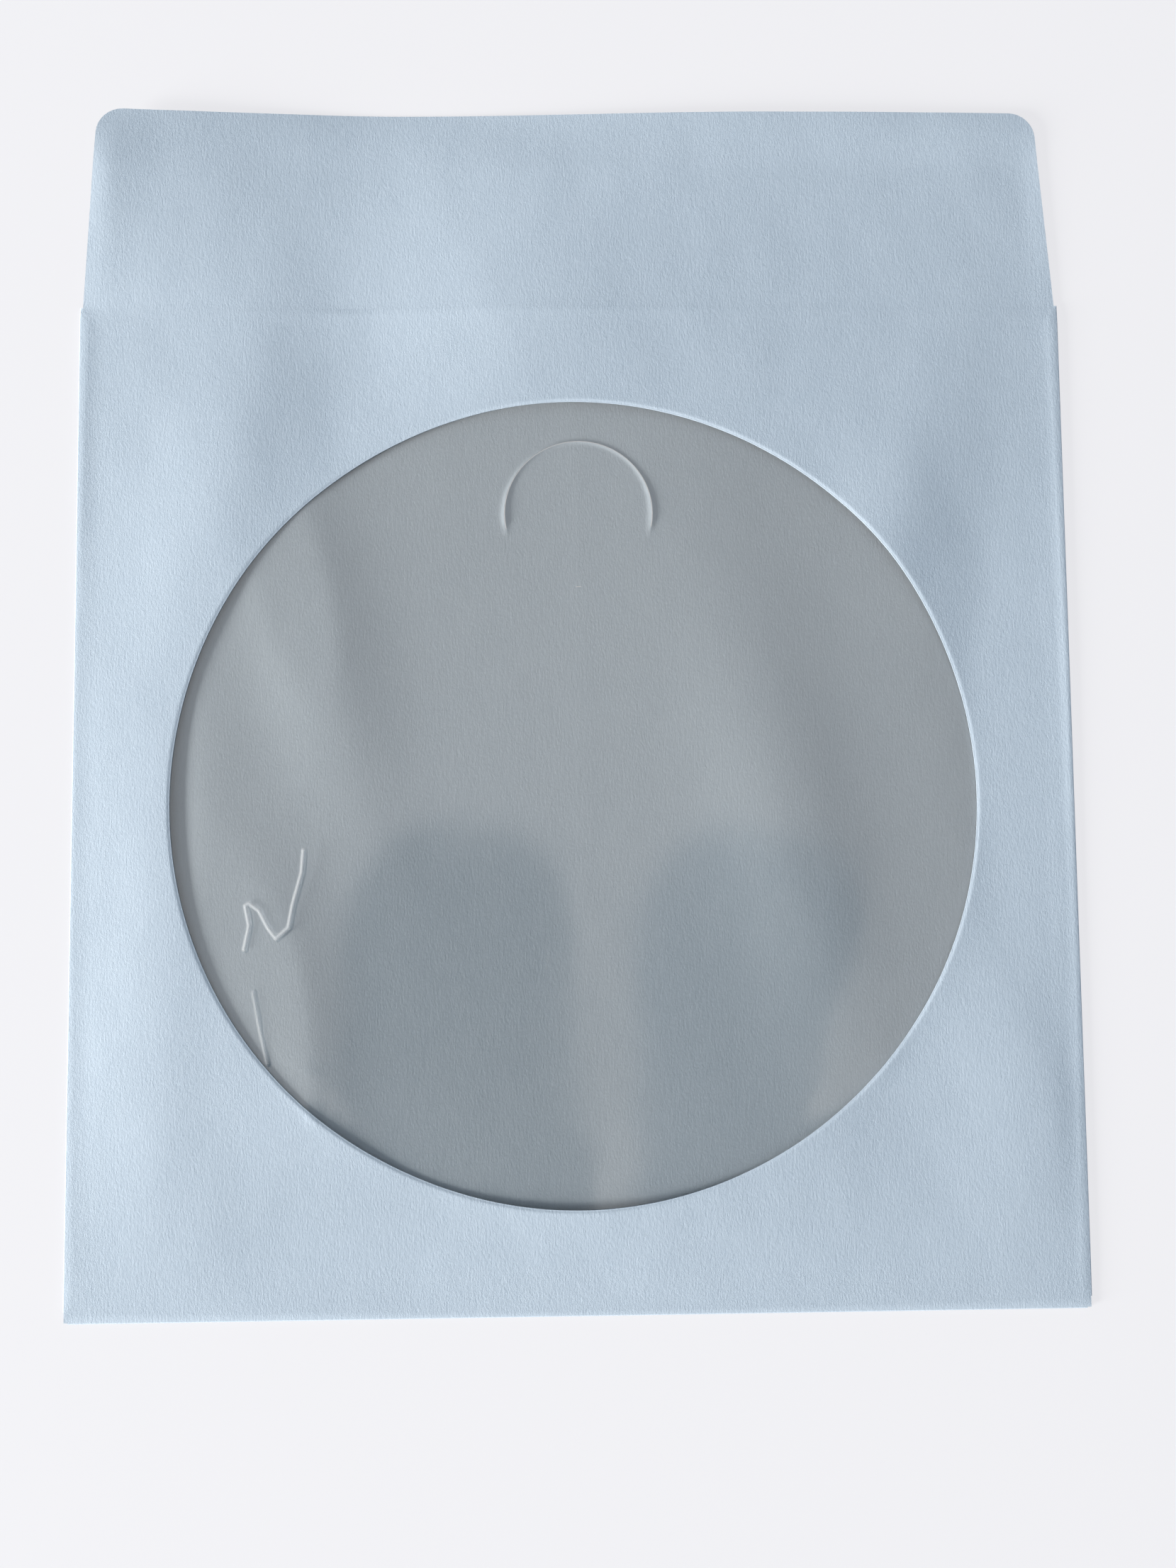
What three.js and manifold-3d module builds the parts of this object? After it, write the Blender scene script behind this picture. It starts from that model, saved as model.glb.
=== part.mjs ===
import * as THREE from "three";
import { mergeVertices } from "three/addons/utils/BufferGeometryUtils.js";
import Module from "manifold-3d";

// A window envelope for one disc, in millimetres. The paper is a single die-cut blank: a front panel with a
// round window, a flap that carries on from its top, a narrow seam flap down each side, and a back panel
// that folds up from its foot over the glued seam flaps. A clear film is glued behind the window.
// It lies on its back panel with the flap open: +Z is up, out of the window, and +Y runs towards the flap.
// The origin is under the middle of the outline, on the surface that the envelope lies on.

// Stock
const paperThickness = 0.1;
const filmThickness = 0.03;
const glueThickness = 0.02;

// Folded body
const bodyWidth = 124.4;
const bodyHeight = 125.3;
const creaseRadius = 0.05;

// Flap, measured from the shoulders where the side folds end
const flapDepth = 25.4;
const flapFoldDrop = 0.5;
const flapShoulderStep = 0.4;
const flapTaperDegrees = 4.6;
const flapCornerRadius = 3.4;

// Window, centred on the body, and the film's glued margin around it
const windowDiameter = 100;
const filmMargin = 4;

// Seam flaps, turned in from the side folds, and their glue
const seamFlapWidth = 10;
const seamFlapBevelDegrees = 15;
const seamFlapFootGap = 1.5;
const seamGlueWidth = 5;
const seamGlueInset = 2.5;
const seamGlueEndGap = 4;

// Back panel, set in from the side folds and down from the shoulders
const backPanelInset = 0.6;
const backPanelDrop = 1;

// Half-moon tab that holds the closed flap: an arched slit in the back panel
const tabRadius = 9.3;
const tabCentreDrop = 26.7;
const tabCentreOffset = 0.6;
const slitOverrunDegrees = 10;
const slitWidth = 0.2;

// How the empty paper stands: the front panel springs off the back panel to a soft ridge up its middle,
// and the flap droops to the surface at one place and curls off it on both sides of that
const pocketRise = 1.5;
const ridgeRise = 0.35;
const throatRise = 0.8;
const flapCurlLeft = 2.1;
const flapWaveRise = 1.1;
const flapCurlRight = 0.6;
const flapTouchOffset = 22;
const flapWaveOffset = 25;

// Facet counts
const panelColumnsEachSide = 14;
const frontRows = 27;
const flapRows = 5;
const backRows = 8;
const seamColumns = 3;
const foldSteps = 5;
const cornerSteps = 5;
const windowSegments = 128;
const filmRows = 18;
const filmColumnsEachSide = 9;

const wasm = await Module();
wasm.setup();

// Places that the pieces share
const halfWidth = bodyWidth / 2;
const bottomEdge = -(bodyHeight + flapDepth) / 2;
const shoulderY = bottomEdge + bodyHeight;
const flapFoldY = shoulderY - flapFoldDrop;
const freeEdge = shoulderY + flapDepth;
const windowY = bottomEdge + bodyHeight / 2;

// Layers at the glued sides, from the surface up: back panel, glue, seam flap, crease gap, front panel
const backTop = paperThickness;
const seamUnder = backTop + glueThickness;
const seamTop = seamUnder + paperThickness;
const frontUnder = seamTop + 2 * creaseRadius;

// Side folds: half turns about a line along Y, with the radius taken to the middle of the paper
const sideFoldRadius = creaseRadius + paperThickness / 2;
const sideFoldX = halfWidth - creaseRadius - paperThickness;
const sideFoldZ = seamTop + creaseRadius;
const sideFoldLength = Math.PI * sideFoldRadius;
const seamFlapReach = seamFlapWidth - (halfWidth - sideFoldX);
const seamFoot = bottomEdge + seamFlapFootGap;
const seamMiddle = (seamFoot + shoulderY) / 2;

// Bottom fold: a half turn about a line along X that leaves room for the seam flaps
const bottomCrease = (frontUnder - backTop) / 2;
const bottomFoldRadius = bottomCrease + paperThickness / 2;
const bottomFoldY = bottomEdge + bottomCrease + paperThickness;
const bottomFoldZ = backTop + bottomCrease;
const bottomFoldLength = Math.PI * bottomFoldRadius;
const backHalfWidth = halfWidth - backPanelInset;
const backPanelTop = shoulderY - backPanelDrop;

// Flap outline: straight tapered sides, run into the free edge by round corners
const flapTaper = THREE.MathUtils.degToRad(flapTaperDegrees);
const cornerY = freeEdge - flapCornerRadius;
const cornerX = taperedHalfWidth(cornerY) - flapCornerRadius / Math.cos(flapTaper);
const cornerStartY = cornerY + flapCornerRadius * Math.sin(flapTaper);

function taperedHalfWidth(y) {
  return halfWidth - flapShoulderStep - (y - shoulderY) * Math.tan(flapTaper);
}

// Half the width of the front panel or flap at a height up the sheet
function sheetHalfWidth(y) {
  if (y <= flapFoldY) return sideFoldX;
  if (y <= shoulderY) {
    return THREE.MathUtils.mapLinear(y, flapFoldY, shoulderY, sideFoldX, taperedHalfWidth(shoulderY));
  }
  if (y <= cornerStartY) return taperedHalfWidth(y);
  const above = Math.min(y - cornerY, flapCornerRadius);
  return cornerX + Math.sqrt(flapCornerRadius ** 2 - above ** 2);
}

// How far the front panel stands off its folds: nothing at the folded sides and foot, most above the middle
function pocketHeight(x, y) {
  const across = Math.min(Math.abs(x) / sideFoldX, 1);
  const up = THREE.MathUtils.clamp((y - bottomFoldY) / (flapFoldY - bottomFoldY), 0, 1);
  const crown = (pocketRise - ridgeRise) * (1 - across ** 2) + ridgeRise * (1 - across);
  const swell = Math.sin(Math.PI * Math.min(up, 0.5));
  const throat = 1 - (1 - throatRise / pocketRise) * THREE.MathUtils.smoothstep(up, 0.5, 1);
  return crown * swell * throat;
}

// Height of the flap's free edge: it touches down once, curls up to the left, and waves on the right
function freeEdgeHeight(x) {
  const touchX = -flapTouchOffset;
  if (x < touchX) return flapCurlLeft * ((touchX - x) / (halfWidth + touchX)) ** 1.3;
  const waveX = flapWaveOffset;
  if (x < waveX) return flapWaveRise * THREE.MathUtils.smoothstep(x, touchX, waveX);
  const fall = ((x - waveX) / (halfWidth - waveX)) ** 2;
  return THREE.MathUtils.lerp(flapWaveRise, flapCurlRight, fall);
}

// Height of the underside of the front panel and flap
function sheetUnderside(x, y) {
  if (y <= flapFoldY) return frontUnder + pocketHeight(x, y);
  const along = (y - flapFoldY) / (freeEdge - flapFoldY);
  const start = frontUnder + pocketHeight(x, flapFoldY);
  return THREE.MathUtils.lerp(start, freeEdgeHeight(x), along);
}

// Folding: each maps a point of the flat blank, u across and v up, at a distance out from the paper's middle
function foldFront(u, v, out) {
  const x = (u * sheetHalfWidth(v)) / sideFoldX;
  return new THREE.Vector3(x, v, sheetUnderside(x, v) + paperThickness / 2 + out);
}

function foldSide(u, v, out) {
  const side = Math.sign(u);
  const past = Math.abs(u) - sideFoldX;
  if (past < sideFoldLength) {
    const turn = past / sideFoldRadius;
    const reach = sideFoldRadius + out;
    return new THREE.Vector3(
      side * (sideFoldX + reach * Math.sin(turn)),
      v,
      sideFoldZ + reach * Math.cos(turn),
    );
  }
  const inward = past - sideFoldLength;
  const bevel = inward * Math.tan(THREE.MathUtils.degToRad(seamFlapBevelDegrees));
  const shortening = 1 - bevel / (shoulderY - seamMiddle);
  const y = seamMiddle + (v - seamMiddle) * shortening;
  return new THREE.Vector3(side * (sideFoldX - inward), y, sideFoldZ - sideFoldRadius - out);
}

function foldFoot(u, v, out) {
  const past = bottomFoldY - v;
  if (past < bottomFoldLength) {
    const turn = past / bottomFoldRadius;
    const reach = bottomFoldRadius + out;
    return new THREE.Vector3(u, bottomFoldY - reach * Math.sin(turn), bottomFoldZ + reach * Math.cos(turn));
  }
  return new THREE.Vector3(u, bottomFoldY + past - bottomFoldLength, bottomFoldZ - bottomFoldRadius - out);
}

function foldBlank(u, v, out) {
  if (v < bottomFoldY) return foldFoot(u, v, out);
  if (Math.abs(u) > sideFoldX) return foldSide(u, v, out);
  return foldFront(u, v, out);
}

// Whether a place on the grid of the blank is paper
function isPaper(u, v) {
  if (v < bottomFoldY) return Math.abs(u) < backHalfWidth;
  if (Math.abs(u) > sideFoldX) return v > seamFoot && v < shoulderY;
  return true;
}

// Evenly spaced values from one number to another, without the last
function spread(from, to, count) {
  return Array.from({ length: count }, (_, i) => THREE.MathUtils.lerp(from, to, i / count));
}

// A closed sheet over the grid of two lists of lines: outer and inner faces, with a wall on every open edge
function sheetGeometry(columns, rows, place, filled, thickness) {
  const points = [];
  for (const out of [thickness / 2, -thickness / 2]) {
    for (const v of rows) {
      for (const u of columns) points.push(...place(u, v, out).toArray());
    }
  }
  const layer = columns.length * rows.length;
  const outer = (i, j) => j * columns.length + i;
  const inner = (i, j) => layer + outer(i, j);
  const middle = (lines, i) => (lines[i] + lines[i + 1]) / 2;
  const has = (i, j) => {
    if (i < 0 || j < 0 || i > columns.length - 2 || j > rows.length - 2) return false;
    return filled(middle(columns, i), middle(rows, j));
  };
  const faces = [];
  const quad = (a, b, c, d) => faces.push(a, b, c, a, c, d);
  const wall = (i, j, k, l) => quad(outer(i, j), inner(i, j), inner(k, l), outer(k, l));
  for (let j = 0; j < rows.length - 1; j += 1) {
    for (let i = 0; i < columns.length - 1; i += 1) {
      if (!has(i, j)) continue;
      quad(outer(i, j), outer(i + 1, j), outer(i + 1, j + 1), outer(i, j + 1));
      quad(inner(i, j), inner(i, j + 1), inner(i + 1, j + 1), inner(i + 1, j));
      if (!has(i, j - 1)) wall(i, j, i + 1, j);
      if (!has(i + 1, j)) wall(i + 1, j, i + 1, j + 1);
      if (!has(i, j + 1)) wall(i + 1, j + 1, i, j + 1);
      if (!has(i - 1, j)) wall(i, j + 1, i, j);
    }
  }
  const geometry = new THREE.BufferGeometry();
  geometry.setAttribute("position", new THREE.Float32BufferAttribute(points, 3));
  geometry.setIndex(faces);
  return geometry;
}

// A closed geometry as a solid that can be joined and cut
function solidOf(geometry) {
  const bare = geometry.clone();
  bare.deleteAttribute("normal");
  bare.deleteAttribute("uv");
  const merged = mergeVertices(bare, 1e-5);
  const vertProperties = merged.attributes.position.array;
  return new wasm.Manifold(new wasm.Mesh({
    numProp: 3,
    vertProperties,
    triVerts: new Uint32Array(merged.index.array),
  }));
}

function geometryOf(solid) {
  const mesh = solid.getMesh();
  const geometry = new THREE.BufferGeometry();
  geometry.setAttribute("position", new THREE.BufferAttribute(mesh.vertProperties, 3));
  geometry.setIndex(new THREE.BufferAttribute(mesh.triVerts, 1));
  geometry.computeVertexNormals();
  return geometry;
}

// The folded blank, before it is cut
function foldedPaper() {
  const seamEnd = sideFoldX + sideFoldLength + seamFlapReach;
  const turnedIn = [
    ...spread(seamEnd, sideFoldX + sideFoldLength, seamColumns),
    ...spread(sideFoldX + sideFoldLength, sideFoldX, foldSteps),
    sideFoldX,
  ];
  const columns = [
    ...turnedIn.map((u) => -u),
    ...spread(-backHalfWidth, 0, panelColumnsEachSide),
    ...spread(0, backHalfWidth, panelColumnsEachSide),
    backHalfWidth,
    ...turnedIn.reverse(),
  ];
  const backPanelLength = backPanelTop - bottomFoldY;
  const footFold = bottomFoldY - bottomFoldLength;
  const corner = spread(flapTaper, Math.PI / 2, cornerSteps)
    .map((angle) => cornerY + flapCornerRadius * Math.sin(angle));
  const rows = [
    ...spread(footFold - backPanelLength, footFold, backRows),
    ...spread(footFold, bottomFoldY, foldSteps),
    bottomFoldY,
    ...spread(seamFoot, flapFoldY, frontRows),
    flapFoldY,
    ...spread(shoulderY, cornerStartY, flapRows),
    ...corner,
    freeEdge,
  ];
  return solidOf(sheetGeometry(columns, rows, foldBlank, isPaper, paperThickness));
}

// The round window's punch, which stays clear of the back panel
function windowPunch() {
  const low = (backTop + frontUnder) / 2;
  const high = frontUnder + pocketRise + paperThickness + 1;
  const punch = new THREE.CylinderGeometry(
    windowDiameter / 2, windowDiameter / 2, high - low, windowSegments,
  );
  punch.rotateX(Math.PI / 2);
  punch.translate(0, windowY, (low + high) / 2);
  return solidOf(punch);
}

// The half-moon slit's knife: an arch with round ends, open at its foot, which stays clear of the front panel
function slitKnife() {
  const start = -THREE.MathUtils.degToRad(slitOverrunDegrees);
  const end = Math.PI - start;
  const halfSlit = slitWidth / 2;
  const arch = new THREE.Shape();
  const roundEnd = (angle, turn) => {
    arch.absarc(tabRadius * Math.cos(angle), tabRadius * Math.sin(angle), halfSlit, turn, turn + Math.PI, false);
  };
  arch.absarc(0, 0, tabRadius + halfSlit, start, end, false);
  roundEnd(end, end);
  arch.absarc(0, 0, tabRadius - halfSlit, end, start, true);
  roundEnd(start, start + Math.PI);
  const low = -paperThickness;
  const high = (backTop + frontUnder) / 2;
  const knife = new THREE.ExtrudeGeometry(arch, { depth: high - low, bevelEnabled: false, curveSegments: 40 });
  knife.translate(tabCentreOffset, shoulderY - tabCentreDrop, low);
  return solidOf(knife);
}

// The line of dried glue that joins a seam flap to the back panel, sunk halfway into both
function seamGlue(side) {
  const bite = paperThickness / 2;
  const foot = seamFoot + seamGlueEndGap;
  const top = backPanelTop - seamGlueEndGap;
  const glue = new THREE.BoxGeometry(seamGlueWidth, top - foot, glueThickness + 2 * bite);
  const x = side * (halfWidth - seamGlueInset - seamGlueWidth / 2);
  glue.translate(x, (foot + top) / 2, (backTop + seamUnder) / 2);
  return solidOf(glue);
}

function paperSleeve() {
  const sheet = foldedPaper();
  const cut = sheet.subtract(windowPunch()).subtract(slitKnife());
  return geometryOf(cut.add(seamGlue(-1)).add(seamGlue(1)));
}

// The film: a square patch that follows the underside of the front panel, one line of glue below it
function windowFilm() {
  const half = windowDiameter / 2 + filmMargin;
  const columns = [...spread(-half, 0, filmColumnsEachSide), ...spread(0, half, filmColumnsEachSide), half];
  const rows = [...spread(windowY - half, windowY + half, filmRows), windowY + half];
  const middleDrop = glueThickness + filmThickness / 2;
  const place = (x, y, out) => new THREE.Vector3(x, y, sheetUnderside(x, y) - middleDrop + out);
  return sheetGeometry(columns, rows, place, () => true, filmThickness);
}

const paper = new THREE.MeshStandardMaterial({ color: 0xcbd4de, roughness: 0.9, metalness: 0 });
const film = new THREE.MeshStandardMaterial({
  color: 0xf2f6f8,
  roughness: 0.08,
  metalness: 0,
  transparent: true,
  opacity: 0.2,
});

const envelope = new THREE.Group();

function addPart(name, geometry, material) {
  const mesh = new THREE.Mesh(geometry, material);
  mesh.name = name;
  envelope.add(mesh);
}

addPart("paper_sleeve", paperSleeve(), paper);
addPart("window_film", windowFilm(), film);

export default envelope;
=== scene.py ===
"""Looks of a window envelope for one disc: a folded paper sleeve with a round film window.

Shapes are worked out in millimetres, in the frame of the CAD model, and turned into metres as
meshes are made.
"""

import math

import bpy
import numpy as np
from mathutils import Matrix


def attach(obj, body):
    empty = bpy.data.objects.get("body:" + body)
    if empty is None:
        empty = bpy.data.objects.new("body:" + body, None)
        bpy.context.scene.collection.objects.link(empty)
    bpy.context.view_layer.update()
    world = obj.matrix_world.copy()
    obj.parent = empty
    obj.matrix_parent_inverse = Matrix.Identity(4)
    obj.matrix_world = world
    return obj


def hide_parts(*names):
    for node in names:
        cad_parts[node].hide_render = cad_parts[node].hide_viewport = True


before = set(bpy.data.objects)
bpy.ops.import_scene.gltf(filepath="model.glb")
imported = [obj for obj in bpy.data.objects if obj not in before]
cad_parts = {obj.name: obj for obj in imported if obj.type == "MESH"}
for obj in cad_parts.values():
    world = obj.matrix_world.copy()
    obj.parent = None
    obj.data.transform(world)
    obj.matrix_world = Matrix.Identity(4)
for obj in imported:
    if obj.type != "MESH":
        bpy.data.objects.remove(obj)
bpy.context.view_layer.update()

MM = 0.001

# The photograph's view: a pinhole camera 146 mm above the lower half of the window
PHOTO_HEIGHT_PX = 2212
FOCAL_PX = 1661
SENSOR_MM = 36
CAMERA_TURN_DEGREES = (3.6, -0.93, -0.52)
CAMERA_PLACE_M = (-0.0009, -0.0201, 0.1463)
camera_data = bpy.data.cameras.new("camera")
camera_data.sensor_width = SENSOR_MM
camera_data.lens = FOCAL_PX / PHOTO_HEIGHT_PX * SENSOR_MM
camera_data.clip_start = 0.01
camera = bpy.data.objects.new("camera", camera_data)
bpy.context.collection.objects.link(camera)
camera.rotation_mode = "ZYX"
camera.rotation_euler = [math.radians(angle) for angle in CAMERA_TURN_DEGREES]
camera.location = CAMERA_PLACE_M
bpy.context.scene.camera = camera

# Sizes, as in the CAD
PAPER = 0.1
FILM = 0.03
GLUE = 0.02
BODY_WIDTH = 124.4
BODY_HEIGHT = 125.3
CREASE = 0.05
FLAP_DEPTH = 25.4
FLAP_FOLD_DROP = 0.5
SHOULDER_STEP = 0.4
FLAP_TAPER = math.radians(4.6)
FLAP_CORNER = 3.4
WINDOW_RADIUS = 50.0
FILM_MARGIN = 4.0
SEAM_FLAP_WIDTH = 10.0
SEAM_BEVEL = math.radians(15)
SEAM_FOOT_GAP = 1.5
BACK_INSET = 0.6
BACK_DROP = 1.0
TAB_RADIUS = 9.3
TAB_X = 0.6
TAB_DROP = 26.7
SLIT_OVERRUN = math.radians(10)
SLIT_WIDTH = 0.08

HALF_WIDTH = BODY_WIDTH / 2
BOTTOM_EDGE = -(BODY_HEIGHT + FLAP_DEPTH) / 2
SHOULDER_Y = BOTTOM_EDGE + BODY_HEIGHT
FOLD_Y = SHOULDER_Y - FLAP_FOLD_DROP
FREE_EDGE = SHOULDER_Y + FLAP_DEPTH
WINDOW_Y = BOTTOM_EDGE + BODY_HEIGHT / 2
TAB_Y = SHOULDER_Y - TAB_DROP
SEAM_UNDER = PAPER + GLUE
SEAM_TOP = SEAM_UNDER + PAPER
FRONT_UNDER = SEAM_TOP + 2 * CREASE
SIDE_RADIUS = CREASE + PAPER / 2
SIDE_X = HALF_WIDTH - CREASE - PAPER
SIDE_LENGTH = math.pi * SIDE_RADIUS
SEAM_MIDDLE_Z = SEAM_UNDER + PAPER / 2
SEAM_REACH = SEAM_FLAP_WIDTH - (HALF_WIDTH - SIDE_X)
SEAM_FOOT = BOTTOM_EDGE + SEAM_FOOT_GAP
SEAM_MIDDLE_Y = (SEAM_FOOT + SHOULDER_Y) / 2
FOOT_CREASE = (FRONT_UNDER - PAPER) / 2
FOOT_RADIUS = FOOT_CREASE + PAPER / 2
FOOT_Y = BOTTOM_EDGE + FOOT_CREASE + PAPER
FOOT_Z = PAPER + FOOT_CREASE
FOOT_LENGTH = math.pi * FOOT_RADIUS
BACK_HALF_WIDTH = HALF_WIDTH - BACK_INSET
BACK_TOP = SHOULDER_Y - BACK_DROP
BACK_START = FOOT_Y - FOOT_LENGTH


def smoothstep(x, start, end):
    t = np.clip((x - start) / (end - start), 0, 1)
    return t * t * (3 - 2 * t)


def lerp(a, b, t):
    return a + (b - a) * t


def soft_minimum(a, b, softness=0.03):
    """The lower of two heights, with the corner between them rounded off."""
    return -softness * np.logaddexp(-a / softness, -b / softness)


def bump(x, y, cx, cy, sx, sy, turn=0.0):
    """A soft round rise of height 1 at (cx, cy), sx by sy wide at one standard deviation."""
    c, s = math.cos(math.radians(turn)), math.sin(math.radians(turn))
    u = (x - cx) * c + (y - cy) * s
    v = (y - cy) * c - (x - cx) * s
    return np.exp(-0.5 * ((u / sx) ** 2 + (v / sy) ** 2))


# Outline of the front sheet
CORNER_Y = FREE_EDGE - FLAP_CORNER


def tapered_half_width(y):
    return HALF_WIDTH - SHOULDER_STEP - (y - SHOULDER_Y) * math.tan(FLAP_TAPER)


CORNER_X = tapered_half_width(CORNER_Y) - FLAP_CORNER / math.cos(FLAP_TAPER)
CORNER_START = CORNER_Y + FLAP_CORNER * math.sin(FLAP_TAPER)


def sheet_half_width(y):
    shoulder = lerp(SIDE_X, tapered_half_width(SHOULDER_Y), (y - FOLD_Y) / (SHOULDER_Y - FOLD_Y))
    above = np.clip(y - CORNER_Y, 0, FLAP_CORNER)
    corner = CORNER_X + np.sqrt(np.maximum(FLAP_CORNER**2 - above**2, 0))
    return np.select(
        [y <= FOLD_Y, y <= SHOULDER_Y, y <= CORNER_START],
        [np.full_like(y, SIDE_X), shoulder, tapered_half_width(y)],
        corner,
    )


# How the front panel stands off its folds
POCKET_RISE = 1.5
RIDGE_RISE = 0.35
THROAT_RISE = 0.8
RIDGE_SOFTNESS = 0.5


def pocket_height(x, y):
    across = np.minimum(np.sqrt(x**2 + RIDGE_SOFTNESS**2) / SIDE_X, 1)
    up = np.clip((y - FOOT_Y) / (FOLD_Y - FOOT_Y), 0, 1)
    crown = (POCKET_RISE - RIDGE_RISE) * (1 - across**2) + RIDGE_RISE * (1 - across)
    swell = np.sin(np.pi * np.minimum(up, 0.5))
    throat = 1 - (1 - THROAT_RISE / POCKET_RISE) * smoothstep(up, 0.5, 1)
    return crown * swell * throat


# How the flap's free edge curls
CURL_LEFT = 2.1
WAVE_RISE = 1.1
CURL_RIGHT = 0.6
TOUCH_X = -22.0
WAVE_X = 25.0


def free_edge_height(x):
    left = CURL_LEFT * (np.maximum(TOUCH_X - x, 0) / (HALF_WIDTH + TOUCH_X)) ** 1.3
    middle = WAVE_RISE * smoothstep(x, TOUCH_X, WAVE_X)
    right = lerp(WAVE_RISE, CURL_RIGHT, (np.maximum(x - WAVE_X, 0) / (HALF_WIDTH - WAVE_X)) ** 2)
    return np.select([x < TOUCH_X, x < WAVE_X], [left, middle], right)


# Fine cockle of the paper: 22 waves, 6 to 24 mm long, each with a random heading and phase
rng = np.random.default_rng(458)
COCKLE_WAVES = [
    (length, rng.uniform(0, 2 * math.pi), rng.uniform(0, 2 * math.pi))
    for length in np.geomspace(6, 24, 22)
]
COCKLE_SLOPE = 0.0022
COCKLE_ALONG_FIBRES = 0.6


def cockle(x, y):
    """Sum of the waves, drawn out along the fibres, which run up the sheet."""
    total = np.zeros_like(x)
    for length, heading, phase in COCKLE_WAVES:
        k = 2 * math.pi / length
        along = math.cos(heading) * x + COCKLE_ALONG_FIBRES * math.sin(heading) * y
        total += COCKLE_SLOPE / k * np.sin(k * along + phase)
    return total


# The dents die out over this depth at the flap's free edge
CALM_EDGE = 8.0


def dents(x, y):
    """Soft ridges and hollows of the front sheet that handling has left."""
    left_of_window = 0.5 * bump(x, y, -43, 30, 5.5, 15, -15) + 0.38 * bump(x, y, -51, -34, 5, 22)
    under_window = -0.55 * bump(x, y, -22, -60, 12, 7, 20)
    over_window = -0.7 * bump(x, y, -29, 46, 9, 14) + 0.3 * bump(x, y, -4, 58, 10, 14)
    right_of_window = 0.5 * bump(x, y, 41, 22, 5, 12, -20) - 0.5 * bump(x, y, 51, -6, 6, 22)
    lower_right = -0.4 * bump(x, y, 40, -48, 8, 12) + 0.2 * bump(x, y, 54, -50, 5, 14)
    flap_right = -0.35 * bump(x, y, 42, 64, 18, 10, 20)
    flap_left = 0.4 * bump(x, y, -61, 70, 5, 16, -25)
    total = left_of_window + under_window + over_window + right_of_window
    total = total + lower_right + flap_right + flap_left
    return total * (1 - smoothstep(y, FREE_EDGE - CALM_EDGE, FREE_EDGE))


# How far each side edge stands up, low down and high up, and how wide the lifted strip is
LIFT_LEFT = (0.02, 0.16)
LIFT_RIGHT = (0.08, 0.17)
LIFT_WIDTH_LEFT = 2.2
LIFT_WIDTH_RIGHT = 1.3


def edge_lift(x, y):
    """Paper that stands up a little along the side folds, more at the top."""
    below_shoulder = 1 - smoothstep(y, FOLD_Y - 1.5, SHOULDER_Y + 0.5)
    left = lerp(*LIFT_LEFT, smoothstep(y, 10, 34)) * smoothstep(-x, SIDE_X - LIFT_WIDTH_LEFT, SIDE_X)
    right = lerp(*LIFT_RIGHT, smoothstep(y, -30, 10)) * smoothstep(x, SIDE_X - LIFT_WIDTH_RIGHT, SIDE_X)
    above_foot = smoothstep(y, FOOT_Y, FOOT_Y + 6)
    return (left + right) * below_shoulder * above_foot


FOLD_RIDGE = 0.014
FOLD_GROOVE = 0.004


def fold_line(y):
    """The flap's soft fold: a low ridge with a groove above it."""
    ridge = np.exp(-0.5 * ((y - FOLD_Y + 0.3) / 0.5) ** 2)
    groove = np.exp(-0.5 * ((y - FOLD_Y - 0.9) / 0.6) ** 2)
    return FOLD_RIDGE * ridge - FOLD_GROOVE * groove


STIFF_EDGE = 4.0


def relief(x, y):
    """Height of all that is too fine for the CAD's front sheet.

    The cockle and the dents die out at the side folds and the foot.
    """
    inside = smoothstep(SIDE_X - np.abs(x), 0, STIFF_EDGE) * smoothstep(y, FOOT_Y, FOOT_Y + STIFF_EDGE)
    uneven = (cockle(x, y) + dents(x, y)) * inside
    return uneven + edge_lift(x, y) + fold_line(y) * smoothstep(y, FOOT_Y, 0)


RIM_PRESS = 0.07
RIM_PRESS_WIDTH = 0.42


def rim_press(x, y):
    """The die presses the window's rim down a little as it cuts."""
    past = np.hypot(x, y - WINDOW_Y) - WINDOW_RADIUS
    return -RIM_PRESS * (1 - smoothstep(past, 0, RIM_PRESS_WIDTH))


# Least height between the front panel and a swell of the back panel, which leaves the film room
ROOM = 0.2
# The front panel dips no further than this below its level at the side folds
DEEPEST_DIP = 0.04


def sheet_underside(x, y):
    """Height of the underside of the front panel and flap, without the pressed rim."""
    body = FRONT_UNDER + pocket_height(x, y)
    along = np.clip((y - FOLD_Y) / (FREE_EDGE - FOLD_Y), 0, 1)
    start = FRONT_UNDER + pocket_height(x, np.full_like(x, FOLD_Y))
    flap = lerp(start, free_edge_height(x), along)
    height = np.where(y <= FOLD_Y, body, flap) + relief(x, y)
    over_back = np.maximum(PAPER + back_swell(x, y) + ROOM, FRONT_UNDER - DEEPEST_DIP)
    return -soft_minimum(-height, -np.where(y <= FOLD_Y, over_back, 0.0))


def side_lift(y):
    """How far the front sheet's edges stand above their level on the left and right."""
    left = sheet_underside(np.full_like(y, -SIDE_X), np.minimum(y, FOLD_Y)) - FRONT_UNDER
    right = sheet_underside(np.full_like(y, SIDE_X), np.minimum(y, FOLD_Y)) - FRONT_UNDER
    return left, right


SWELL_REACH = 51.0
SPARE_ROOM = 0.05


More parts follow.
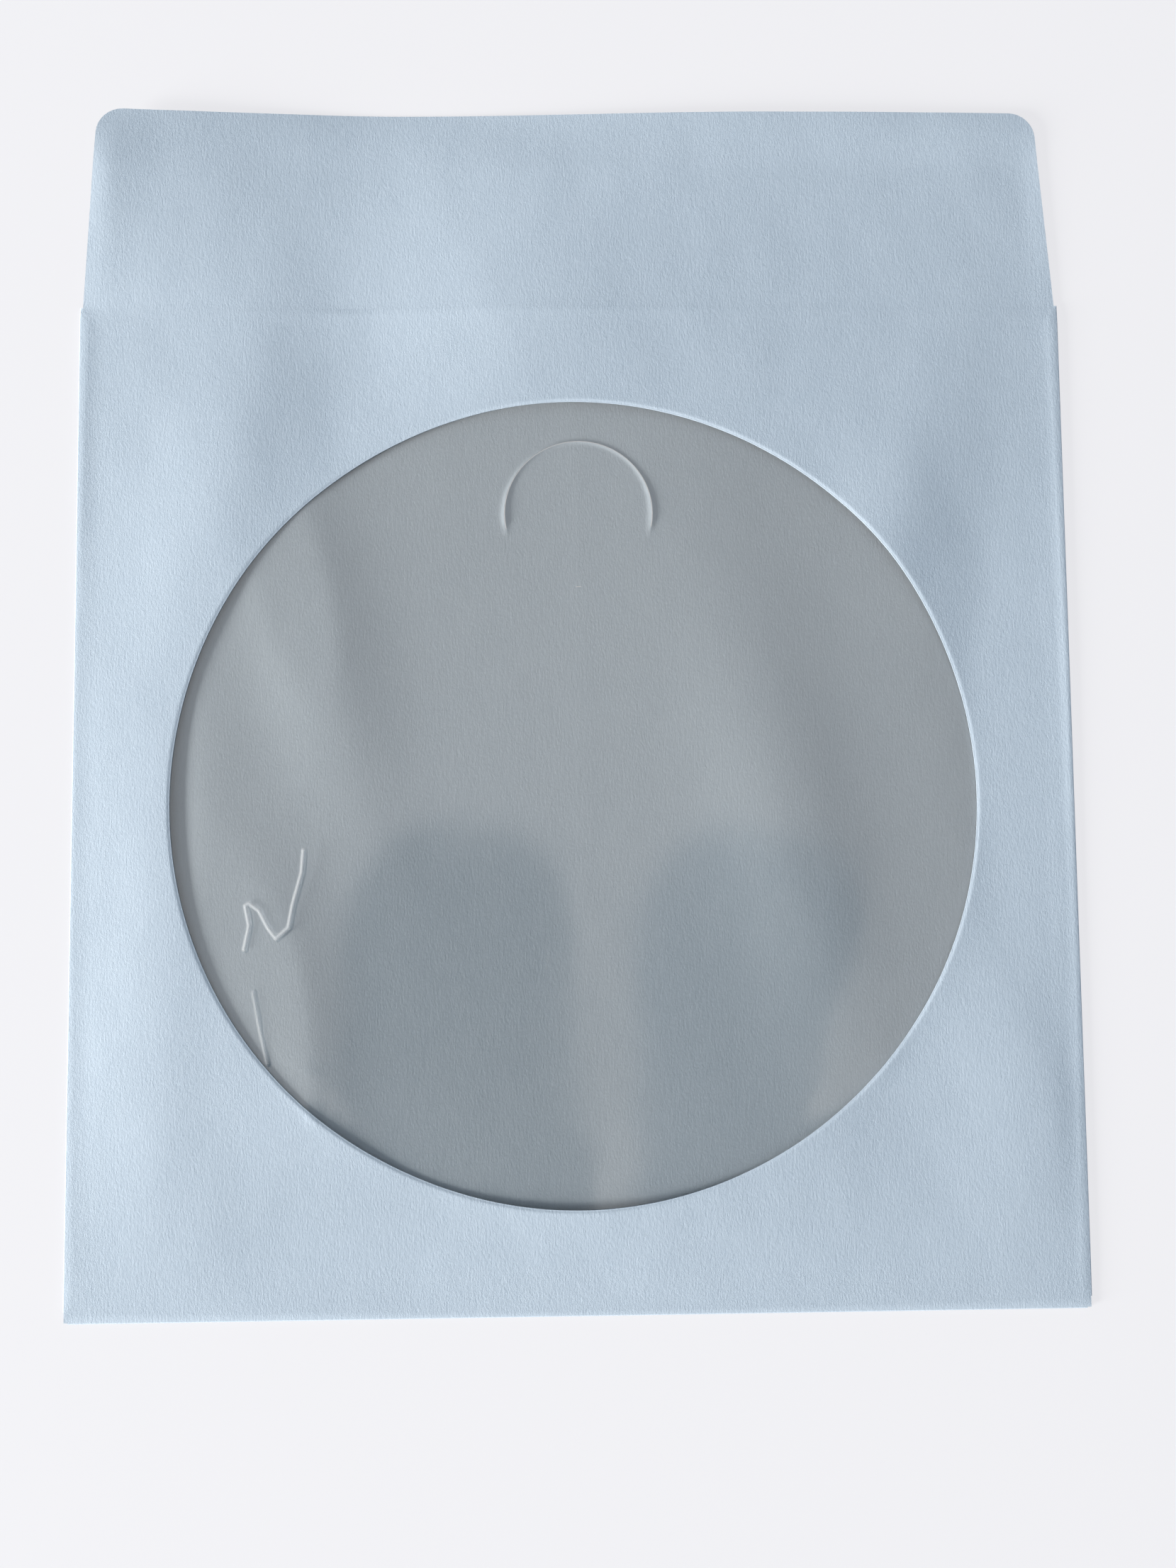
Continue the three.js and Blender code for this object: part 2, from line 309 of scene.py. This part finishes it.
def back_swell(x, y):
    """The back panel rests on the surface and swells off it a little inside the seams."""
    inside = smoothstep(SWELL_REACH - np.abs(x), 0, 5) * smoothstep(y, FOOT_Y + 2, FOOT_Y + 18)
    inside = inside * (1 - smoothstep(np.hypot(x, y - WINDOW_Y), WINDOW_RADIUS, WINDOW_RADIUS + 4))
    swells = 1.1 * bump(x, y, -33, 9, 5, 17, 14) + 1.05 * bump(x, y, -37, -38, 5, 15, 4)
    swells += 1.1 * bump(x, y, 27, -16, 6, 20, 14) + 0.3 * bump(x, y, 14, 22, 9, 14)
    swells += 0.5 * bump(x, y, -46, -18, 4.5, 20)
    crease = 0.03 * np.exp(-np.abs(x - TAB_X) / 1.5)
    most = np.maximum(FRONT_UNDER + pocket_height(x, y) - PAPER - ROOM - SPARE_ROOM, 0)
    return np.maximum(soft_minimum(swells + crease, most), 0) * inside


SLIT_REACH = math.pi / 2 + SLIT_OVERRUN
LIP_WIDTH_TOP, LIP_WIDTH_LEG = 0.15, 0.24
LIP_RISE_TOP, LIP_RISE_LEG = 0.15, 0.30


def slit_lips(x, y):
    """Both lips of the half-moon cut stand up in a low ridge, wider and higher down its legs."""
    dx, dy = x - TAB_X, y - TAB_Y
    r = np.hypot(dx, dy)
    angle = np.abs(np.arctan2(dx, dy))
    leg = smoothstep(angle, 0.7, 1.6)
    width = lerp(LIP_WIDTH_TOP, LIP_WIDTH_LEG, leg)
    rise = lerp(LIP_RISE_TOP, LIP_RISE_LEG, leg)
    rise = rise * (1 - smoothstep(angle, SLIT_REACH - 0.01, SLIT_REACH + 0.04))
    return rise * np.exp(-0.5 * ((r - TAB_RADIUS) / width) ** 2)


def fold_blank(uv, out):
    """Points of the folded sleeve for points (u, v) of its flat blank, out from the middle of the paper."""
    u, v = uv[:, 0], uv[:, 1]
    x = u * sheet_half_width(v) / SIDE_X
    front = np.stack([x, v, sheet_underside(x, v) + rim_press(x, v) + PAPER / 2 + out], 1)

    side = np.sign(u)
    past = np.maximum(np.abs(u) - SIDE_X, 0)
    turn = np.minimum(past / SIDE_RADIUS, math.pi)
    inward = np.maximum(past - SIDE_LENGTH, 0)
    left, right = side_lift(v)
    front_middle = FRONT_UNDER + PAPER / 2 + np.where(u < 0, left, right)
    middle, half = (front_middle + SEAM_MIDDLE_Z) / 2, (front_middle - SEAM_MIDDLE_Z) / 2
    shortening = 1 - inward * math.tan(SEAM_BEVEL) / (SHOULDER_Y - SEAM_MIDDLE_Y)
    folded_side = np.stack(
        [
            side * (SIDE_X - inward + (SIDE_RADIUS + out) * np.sin(turn)),
            SEAM_MIDDLE_Y + (v - SEAM_MIDDLE_Y) * shortening,
            middle + (half + out) * np.cos(turn),
        ],
        1,
    )

    past = np.maximum(FOOT_Y - v, 0)
    turn = np.minimum(past / FOOT_RADIUS, math.pi)
    y = FOOT_Y - (FOOT_RADIUS + out) * np.sin(turn) + np.maximum(past - FOOT_LENGTH, 0)
    z = FOOT_Z + (FOOT_RADIUS + out) * np.cos(turn)
    z = z + np.where(v < BACK_START, back_swell(u, y) + slit_lips(u, y), 0)
    folded_foot = np.stack([u, y, z], 1)

    is_foot = (v < FOOT_Y)[:, None]
    is_side = (np.abs(u) > SIDE_X)[:, None]
    return np.where(is_foot, folded_foot, np.where(is_side, folded_side, front))


# Grids of the flat blank
def lattice(columns, rows, keep=None):
    """Points and faces of a grid, without the cells that keep turns down."""
    u, v = np.meshgrid(columns, rows)
    points = np.stack([u.ravel(), v.ravel()], 1)
    index = np.arange(len(points)).reshape(len(rows), len(columns))
    quads = np.stack([index[:-1, :-1], index[:-1, 1:], index[1:, 1:], index[1:, :-1]], -1)
    if keep is not None:
        quads = quads[keep]
    return points, quads.reshape(-1, 4)


def box_loop(columns, rows):
    """Points round the edge of a grid, anticlockwise from its lowest corner."""
    foot = [(c, rows[0]) for c in columns[:-1]]
    right = [(columns[-1], r) for r in rows[:-1]]
    top = [(c, rows[-1]) for c in columns[:0:-1]]
    left = [(columns[0], r) for r in rows[:0:-1]]
    return np.array(foot + right + top + left)


def rings(inner, outer, first, steps):
    """A band of faces between two closed loops, with rings at the first distances and then evenly."""
    length = np.linalg.norm(outer - inner, axis=1)[:, None]
    heading = (outer - inner) / length
    layers = [inner + heading * d for d in first]
    start = layers[-1]
    layers += [lerp(start, outer, t) for t in np.linspace(0, 1, steps + 1)[1:]]
    n, m = len(inner), len(layers)
    points = np.concatenate(layers)
    k, j = np.meshgrid(np.arange(n), np.arange(m - 1))
    after = (k + 1) % n
    quads = np.stack([j * n + k, (j + 1) * n + k, (j + 1) * n + after, j * n + after], -1)
    return points, quads


STEPS_PER_MM = 2e4


def join(patches):
    """One set of points and faces from patches: points on the same fine step become one."""
    offset, all_points, faces = 0, [], []
    for points, quads in patches:
        all_points.append(points)
        faces.append(quads + offset)
        offset += len(points)
    points = np.concatenate(all_points)
    steps = np.round(points * STEPS_PER_MM).astype(np.int64)
    _, first, index = np.unique(steps, axis=0, return_index=True, return_inverse=True)
    return points[first], index.reshape(-1)[np.concatenate(faces)]


SHARP_EDGE = math.radians(40)


def closed_sheet(name, points, faces, place, thickness):
    """A closed mesh with an outer and an inner face and a wall along every open edge."""
    outer, inner = place(points, thickness / 2), place(points, -thickness / 2)
    n = len(points)
    edges = np.stack([faces.ravel(), np.roll(faces, -1, axis=1).ravel()], 1)
    edges = edges[edges[:, 0] != edges[:, 1]]
    forward, back = edges[:, 0] * n + edges[:, 1], edges[:, 1] * n + edges[:, 0]
    rim = edges[~np.isin(forward, back)]
    walls = np.stack([rim[:, 1], rim[:, 0], rim[:, 0] + n, rim[:, 1] + n], 1)
    quads = np.concatenate([faces, faces[:, ::-1] + n, walls])
    polygons = [list(dict.fromkeys(q)) for q in quads.tolist()]
    mesh = bpy.data.meshes.new(name)
    mesh.from_pydata((np.concatenate([outer, inner]) * MM).tolist(), [], polygons)
    mesh.update()
    mesh.polygons.foreach_set("use_smooth", np.ones(len(mesh.polygons), bool))
    mesh.set_sharp_from_angle(angle=SHARP_EDGE)
    obj = bpy.data.objects.new(name, mesh)
    bpy.context.collection.objects.link(obj)
    return obj


# How finely each part of the blank is divided
PANEL_COLUMNS = 118
BODY_ROWS = 118
FLAP_ROWS = 26
BACK_ROWS = 96
ROUND_STEPS = 8
SEAM_STEPS = 5
PANEL_RINGS = 22
RINGS_PAST_RIM = [0, 0.07, 0.14, 0.22, 0.3, 0.42, 0.6, 0.9, 1.4, 2.0]
panel_columns = np.linspace(-BACK_HALF_WIDTH, BACK_HALF_WIDTH, PANEL_COLUMNS + 1)
columns = np.concatenate([[-SIDE_X], panel_columns, [SIDE_X]])
body_rows = np.concatenate([[FOOT_Y], np.linspace(SEAM_FOOT, FOLD_Y, BODY_ROWS + 1)])
corner_turns = np.linspace(FLAP_TAPER, math.pi / 2, ROUND_STEPS + 1)
flap_rows = np.concatenate(
    [
        [FOLD_Y, (FOLD_Y + SHOULDER_Y) / 2],
        np.linspace(SHOULDER_Y, CORNER_START, FLAP_ROWS + 1)[:-1],
        CORNER_Y + FLAP_CORNER * np.sin(corner_turns),
    ]
)


def front_panel():
    """The front panel up to the flap's fold, in rings round the window."""
    outer = box_loop(columns, body_rows)
    centre = np.array([0, WINDOW_Y])
    heading = (outer - centre) / np.linalg.norm(outer - centre, axis=1)[:, None]
    points, quads = rings(centre + WINDOW_RADIUS * heading, outer, RINGS_PAST_RIM, PANEL_RINGS)
    return points, quads.reshape(-1, 4)


def side_fold(side):
    """The fold down one side and the seam flap that it turns in."""
    turned = SIDE_X + SIDE_LENGTH * np.linspace(0, 1, ROUND_STEPS + 1)
    seam = turned[-1] + SEAM_REACH * np.linspace(0, 1, SEAM_STEPS + 1)[1:]
    lines = np.concatenate([turned, seam])
    rows = np.concatenate([body_rows[1:], flap_rows[1:3]])
    return lattice(np.sort(side * lines), rows)


# The half-moon slit lies in a patch of rings, which starts from a small hub
PATCH_REACH = 14.0
HUB_RADIUS = 0.4
RINGS_PAST_HUB = [0, 1, 2.5, 4.5, 6.3]
RINGS_OFF_SLIT = np.array([SLIT_WIDTH / 2, 0.1, 0.18, 0.3, 0.5, 0.8, 1.2])
PATCH_RINGS = 4


def back_panel():
    """The foot fold and the back panel, with rings of faces around the half-moon slit.

    One face of the slit's ring, opposite the top of the arch, is cut by mistake: there the mean of
    two directions either side of half a turn comes out near 0.
    """
    lines = panel_columns
    past_fold = np.linspace(0, BACK_TOP - FOOT_Y, BACK_ROWS + 1)
    fold_rows = FOOT_Y - FOOT_LENGTH * np.linspace(0, 1, ROUND_STEPS + 1)
    rows = np.concatenate([fold_rows, (BACK_START - past_fold)[1:]])[::-1]
    centre = np.array([TAB_X, 2 * FOOT_Y - FOOT_LENGTH - TAB_Y])
    i = np.searchsorted(lines, [centre[0] - PATCH_REACH, centre[0] + PATCH_REACH])
    j = np.searchsorted(rows, [centre[1] - PATCH_REACH, centre[1] + PATCH_REACH])
    keep = np.ones((len(rows) - 1, len(lines) - 1), bool)
    keep[j[0] : j[1], i[0] : i[1]] = False
    loop = box_loop(lines[i[0] : i[1] + 1], rows[j[0] : j[1] + 1])
    from_centre = loop - centre
    heading = from_centre / np.linalg.norm(from_centre, axis=1)[:, None]
    lips = TAB_RADIUS + np.concatenate([-RINGS_OFF_SLIT[::-1], RINGS_OFF_SLIT])
    first = np.concatenate([RINGS_PAST_HUB, lips - HUB_RADIUS])
    points, quads = rings(centre + HUB_RADIUS * heading, loop, first, PATCH_RINGS)
    turn = np.arctan2(heading[:, 0], -heading[:, 1])
    cut = np.abs((turn + np.roll(turn, -1)) / 2) < SLIT_REACH
    slit_ring = int(np.searchsorted(first, TAB_RADIUS - HUB_RADIUS)) - 1
    whole = np.ones(quads.shape[:2], bool)
    whole[slit_ring, cut] = False
    n = len(loop)
    points = np.concatenate([points, centre[None]])
    last = len(points) - 1
    k = np.arange(n)
    hub = np.stack([np.full(n, last), k, (k + 1) % n, np.full(n, last)], 1)
    patch = points, np.concatenate([quads[whole].reshape(-1, 4), hub])
    return [lattice(lines, rows, keep), patch]


# The film's lines, and the finer ones where it is creased
FILM_HALF = WINDOW_RADIUS + FILM_MARGIN
FILM_LINES = 73
CREASED_X, CREASED_COLUMNS = (-42.2, -32.8), 78
CREASED_Y, CREASED_ROWS = (-46, -17.5), 190


def film_lines(middle, creased, count):
    """Even lines across the film, with closer ones where it is creased."""
    even = middle + np.linspace(-FILM_HALF, FILM_HALF, FILM_LINES)
    return np.unique(np.concatenate([even, np.linspace(*creased, count)]))


# Creases of the film, whitened by the bend and brightened further by a painted highlight: the height of
# each, and its line of points
CREASE_RISE = 0.10
CREASES = [
    (
        CREASE_RISE,
        [
            (-33.5, -18.8),
            (-33.7, -21.5),
            (-34.8, -25.5),
            (-35.3, -28.2),
            (-36.8, -29.5),
            (-37.8, -28.2),
            (-38.9, -26.1),
            (-40.1, -25.2),
            (-40.6, -25.5),
            (-40.1, -27.9),
            (-40.7, -30.8),
        ],
    ),
    (0.06, [(-39.6, -36.0), (-38.8, -40.5), (-37.9, -44.6)]),
]
CREASE_WIDTH = 0.2


def film_creases(x, y):
    """Height of the creases over the film about them."""
    total = np.zeros_like(x)
    for height, line in CREASES:
        nearest = np.full_like(x, np.inf)
        for (ax, ay), (bx, by) in zip(line[:-1], line[1:]):
            length = (bx - ax) ** 2 + (by - ay) ** 2
            t = np.clip(((x - ax) * (bx - ax) + (y - ay) * (by - ay)) / length, 0, 1)
            nearest = np.minimum(nearest, np.hypot(x - lerp(ax, bx, t), y - lerp(ay, by, t)))
        total = np.maximum(total, height * np.exp(-0.5 * (nearest / CREASE_WIDTH) ** 2))
    return total


def film_waves(x, y):
    """Slack of the film where nothing holds it."""
    waves = 0.04 * np.sin(2 * np.pi * (x / 36 + y / 300) + 0.4)
    waves += 0.012 * np.sin(2 * np.pi * (x / 19 - y / 110) + 2.1)
    waves += 0.03 * np.sin(2 * np.pi * (y / 52 + x / 170) + 1.0)
    return waves


# The film is free out to one radius and held from the next. Under the pressed rim it drops too
FREE_RADIUS = 34.0
HELD_RADIUS = 49.5
RIM_DROP = RIM_PRESS + 0.03
RIM_DROP_RADIUS = 49.8
RIM_DROP_REACH = (0.8, 3)


def film_middle(x, y):
    """Height of the film: glued under the front panel round the window, and free within it."""
    r = np.hypot(x, y - WINDOW_Y)
    free = 1 - smoothstep(r, FREE_RADIUS, HELD_RADIUS)
    drop = RIM_DROP * (1 - smoothstep(np.abs(r - RIM_DROP_RADIUS), *RIM_DROP_REACH))
    glued = sheet_underside(x, y) - drop
    spanned = FRONT_UNDER + pocket_height(x, y) + film_waves(x, y)
    return lerp(glued, spanned, free) - GLUE - FILM / 2


def place_film(xy, out):
    x, y = xy[:, 0], xy[:, 1]
    return np.stack([x, y, film_middle(x, y) + film_creases(x, y) + out], 1)


paper_points, paper_faces = join(
    [front_panel(), lattice(columns, flap_rows), side_fold(-1), side_fold(1), *back_panel()]
)
sleeve = closed_sheet("sleeve_paper", paper_points, paper_faces, fold_blank, PAPER)
film_points, film_faces = lattice(
    film_lines(0, CREASED_X, CREASED_COLUMNS), film_lines(WINDOW_Y, CREASED_Y, CREASED_ROWS)
)
film = closed_sheet("window_pane", film_points, film_faces, place_film, FILM)
# Crease mask for the haze: partly the bend's real whitening, partly a painted highlight
crease_whitening_and_highlight = film_creases(film_points[:, 0], film_points[:, 1]) / CREASE_RISE
film.data.attributes.new("crease_whitening_and_highlight", "FLOAT", "POINT").data.foreach_set("value", np.tile(crease_whitening_and_highlight, 2))


# Materials
def new_material(name):
    material = bpy.data.materials.new(name)
    material.use_nodes = True
    material.node_tree.nodes.clear()
    return material, material.node_tree


def node(tree, kind, inputs=(), **settings):
    made = tree.nodes.new(kind)
    for key, value in settings.items():
        setattr(made, key, value)
    for key, value in dict(inputs).items():
        if isinstance(value, bpy.types.NodeSocket):
            tree.links.new(value, made.inputs[key])
        else:
            made.inputs[key].default_value = value
    return made


def noise(tree, vector, scale, detail, roughness):
    inputs = {"Vector": vector, "Scale": scale, "Detail": detail, "Roughness": roughness}
    return node(tree, "ShaderNodeTexNoise", inputs).outputs["Fac"]


def stretched(tree, coordinates, scale, turn=0.0):
    inputs = {"Vector": coordinates, "Scale": scale, "Rotation": (0, 0, math.radians(turn))}
    return node(tree, "ShaderNodeMapping", inputs).outputs["Vector"]


def remap(tree, value, low, high, to_low, to_high):
    made = node(
        tree,
        "ShaderNodeMapRange",
        {"Value": value, "From Min": low, "From Max": high, "To Min": to_low, "To Max": to_high},
    )
    return made.outputs["Result"]


def math_node(tree, operation, a, b):
    return node(tree, "ShaderNodeMath", {0: a, 1: b}, operation=operation).outputs[0]


def weighted(tree, *terms):
    """Sum of sockets, each times its weight."""
    total = 0.0
    for socket, weight in terms:
        total = math_node(tree, "ADD", math_node(tree, "MULTIPLY", socket, weight), total)
    return total


def mix_colours(tree, factor, a, b):
    made = tree.nodes.new("ShaderNodeMix")
    made.data_type = "RGBA"
    for socket, value in zip((made.inputs[0], made.inputs[6], made.inputs[7]), (factor, a, b)):
        if isinstance(value, bpy.types.NodeSocket):
            tree.links.new(value, socket)
        else:
            socket.default_value = value
    return made.outputs[2]


PAPER_PALE = (0.60, 0.68, 0.765, 1)
PAPER_DEEP = (0.53, 0.61, 0.695, 1)
GRAIN_DEPTH_M = 0.00004


def paper_material():
    """Uncoated writing paper: fibres up the sheet, grain, fine tooth and faint mottling."""
    material, tree = new_material("writing_paper")
    place = node(tree, "ShaderNodeTexCoord").outputs["Object"]
    fibres = noise(tree, stretched(tree, place, (5200, 620, 5200), 3), 1, 3, 0.6)
    tooth = noise(tree, place, 7000, 2, 0.6)
    grain = noise(tree, stretched(tree, place, (4200, 2000, 4200), -4), 1, 4, 0.7)
    mottle = noise(tree, stretched(tree, place, (1.5, 0.8, 1)), 160, 3, 0.55)
    shade = weighted(tree, (fibres, 0.7), (mottle, 0.3))
    colour = mix_colours(tree, remap(tree, shade, 0.3, 0.7, 0, 1), PAPER_DEEP, PAPER_PALE)
    relief_height = weighted(tree, (fibres, 0.4), (tooth, 0.2), (grain, 1.0))
    bumps = {"Strength": 1.0, "Distance": GRAIN_DEPTH_M, "Height": relief_height}
    bumped = node(tree, "ShaderNodeBump", bumps)
    shader = node(
        tree,
        "ShaderNodeBsdfPrincipled",
        {
            "Base Color": colour,
            "Roughness": remap(tree, tooth, 0.3, 0.7, 0.82, 0.96),
            "Specular IOR Level": 0.25,
            "Normal": bumped.outputs["Normal"],
        },
    )
    node(tree, "ShaderNodeOutputMaterial", {"Surface": shader.outputs[0]})
    return material


FILM_TINT = (0.912, 0.905, 0.893, 1)
FILM_MIRROR = (1.0, 0.97, 0.91, 1)
# White of the haze: real rubbing on the scuffs, and partly a painted highlight on the creases
FILM_HAZE_AND_HIGHLIGHT = (0.85, 0.86, 0.87, 1)
# Higher than the film's own index, so that one face mirrors as much as both
FILM_IOR = 1.93
SCUFF_HAZE = 0.08
# Haze on the creases: partly real whitening, partly a painted highlight
CREASE_HAZE_AND_HIGHLIGHT = 0.36


def film_material():
    """Thin clear film: it lets light straight through, less at a slant, and mirrors the rest.

    Rubbed spots are a little hazy. Bent creases are hazy white, partly real whitening and partly a painted
    highlight.
    """
    material, tree = new_material("clear_film")
    place = node(tree, "ShaderNodeTexCoord").outputs["Object"]
    scuffs = noise(tree, stretched(tree, place, (900, 240, 900), 12), 1, 4, 0.7)
    handled = noise(tree, place, 45, 3, 0.6)
    clear = node(tree, "ShaderNodeBsdfTransparent", {"Color": FILM_TINT})
    gloss = node(
        tree,
        "ShaderNodeBsdfAnisotropic",
        {"Color": FILM_MIRROR, "Roughness": remap(tree, handled, 0.35, 0.65, 0.09, 0.13)},
    )
    gloss.distribution = "GGX"
    fresnel = node(tree, "ShaderNodeFresnel", {"IOR": FILM_IOR}).outputs[0]
    outside = math_node(tree, "SUBTRACT", 1.0, node(tree, "ShaderNodeNewGeometry").outputs["Backfacing"])
    mirrored = math_node(tree, "MULTIPLY", fresnel, outside)
    pane = node(tree, "ShaderNodeMixShader", {0: mirrored, 1: clear.outputs[0], 2: gloss.outputs[0]})
    haze_and_highlight_shader = node(tree, "ShaderNodeBsdfDiffuse", {"Color": FILM_HAZE_AND_HIGHLIGHT})
    # Painted highlight: along the creases the white haze stands in for a highlight, on top of the bend's
    # real whitening
    crease = node(tree, "ShaderNodeAttribute", attribute_name="crease_whitening_and_highlight").outputs["Fac"]
    rubbed = remap(tree, scuffs, 0.66, 0.85, 0.0, SCUFF_HAZE)
    crease_haze_and_highlight_amount = remap(tree, crease, 0.15, 1, 0, CREASE_HAZE_AND_HIGHLIGHT)
    haze_and_highlight_amount = math_node(tree, "ADD", rubbed, crease_haze_and_highlight_amount)
    surface = node(tree, "ShaderNodeMixShader", {0: haze_and_highlight_amount, 1: pane.outputs[0], 2: haze_and_highlight_shader.outputs[0]})
    node(tree, "ShaderNodeOutputMaterial", {"Surface": surface.outputs[0]})
    return material


sleeve.data.materials.append(paper_material())
film.data.materials.append(film_material())
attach(sleeve, "root")
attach(film, "root")
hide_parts("paper_sleeve")
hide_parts("window_film")

# Studio: a pale floor that runs into a pale world, a low key lamp on the left, a soft cool fill, and
# two dark cards overhead that the film mirrors
BACKGROUND = (0.913, 0.905, 0.930, 1)
FILL = (0.80, 0.90, 1.0, 1)
FILL_STRENGTH = 0.44
FLOOR_GREY = (0.8, 0.8, 0.8, 1)
FLOOR_GLOW = 0.8
FLOOR_SHADED = (0.18, 0.18, 0.185, 1)
FLOOR_HALF_M = 1.5
FLOOR_PLACE_M = (0, 0, -0.00002)
LAMP_AIM_M = (0, -0.01, 0)
FLAG_HEIGHT_M = 0.95
FLAG_FOOT_M = -0.9
FLAG_ARCH_STEPS = 24


def seen_directly(tree):
    """1 for rays that the camera, a mirror or clear film sends."""
    rays = node(tree, "ShaderNodeLightPath").outputs
    seen = math_node(tree, "MAXIMUM", rays["Is Camera Ray"], rays["Is Glossy Ray"])
    return math_node(tree, "MAXIMUM", seen, rays["Is Transmission Ray"])


def floor_material():
    """Plain grey to the light, and pale with the envelope's shadow to the eye."""
    material, tree = new_material("studio_floor")
    plain = node(tree, "ShaderNodeBsdfDiffuse", {"Color": FLOOR_GREY})
    glow = node(tree, "ShaderNodeEmission", {"Color": BACKGROUND, "Strength": FLOOR_GLOW})
    shaded = node(tree, "ShaderNodeBsdfDiffuse", {"Color": FLOOR_SHADED})
    lit = node(tree, "ShaderNodeAddShader", {0: glow.outputs[0], 1: shaded.outputs[0]})
    either = {0: seen_directly(tree), 1: plain.outputs[0], 2: lit.outputs[0]}
    surface = node(tree, "ShaderNodeMixShader", either)
    node(tree, "ShaderNodeOutputMaterial", {"Surface": surface.outputs[0]})
    return material


def studio_world():
    """A cool fill that lights the envelope, and a pale backdrop that the camera and the film see."""
    world = bpy.data.worlds.new("studio")
    world.use_nodes = True
    tree = world.node_tree
    tree.nodes.clear()
    fill = node(tree, "ShaderNodeBackground", {"Color": FILL, "Strength": FILL_STRENGTH})
    backdrop = node(tree, "ShaderNodeBackground", {"Color": BACKGROUND, "Strength": 1.0})
    either = {0: seen_directly(tree), 1: fill.outputs[0], 2: backdrop.outputs[0]}
    surface = node(tree, "ShaderNodeMixShader", either)
    node(tree, "ShaderNodeOutputWorld", {"Surface": surface.outputs[0]})
    bpy.context.scene.world = world


def stage_card(name, corners, location, material):
    """One flat face that belongs to the stage and not to the envelope."""
    mesh = bpy.data.meshes.new(name)
    mesh.from_pydata(corners, [], [list(range(len(corners)))])
    mesh.materials.append(material)
    obj = bpy.data.objects.new(name, mesh)
    obj.location = location
    bpy.context.collection.objects.link(obj)


def area_lamp(name, azimuth, elevation, distance, size, strength, colour):
    """A square lamp aimed at the envelope. Azimuth 0 is to the right and 90 beyond the flap."""
    lamp = bpy.data.lights.new(name, "AREA")
    lamp.size = size
    lamp.energy = strength
    lamp.color = colour
    obj = bpy.data.objects.new(name, lamp)
    a, e = math.radians(azimuth), math.radians(elevation)
    offset = np.array([math.cos(e) * math.cos(a), math.cos(e) * math.sin(a), math.sin(e)]) * distance
    obj.location = np.array(LAMP_AIM_M) + offset
    obj.rotation_mode = "XYZ"
    obj.rotation_euler = (0, math.pi / 2 - e, a)
    bpy.context.collection.objects.link(obj)


def flag(name, x, half_width, top, colour):
    """A dark card with a round top, hung over the envelope: the film mirrors it as a darker patch."""
    material, tree = new_material(name)
    cloth = node(tree, "ShaderNodeBsdfDiffuse", {"Color": colour})
    node(tree, "ShaderNodeOutputMaterial", {"Surface": cloth.outputs[0]})
    turns = np.linspace(0, math.pi, FLAG_ARCH_STEPS + 1)
    arch = [(half_width * math.cos(t), top + half_width * (math.sin(t) - 1), 0) for t in turns]
    corners = [(half_width, FLAG_FOOT_M, 0), *arch, (-half_width, FLAG_FOOT_M, 0)]
    stage_card(name, corners, (x, 0, FLAG_HEIGHT_M), material)


studio_world()
half = FLOOR_HALF_M
floor_corners = [(-half, -half, 0), (half, -half, 0), (half, half, 0), (-half, half, 0)]
stage_card("floor", floor_corners, FLOOR_PLACE_M, floor_material())
area_lamp(
    "key", azimuth=203, elevation=12, distance=1.2, size=0.40, strength=36, colour=(1.0, 0.99, 0.96)
)
flag("flag_left", x=-0.136, half_width=0.13, top=0.007, colour=(0.03, 0.03, 0.035, 1))
flag("flag_right", x=0.197, half_width=0.135, top=-0.006, colour=(0.2, 0.24, 0.3, 1))

bpy.context.scene.view_settings.view_transform = "Standard"
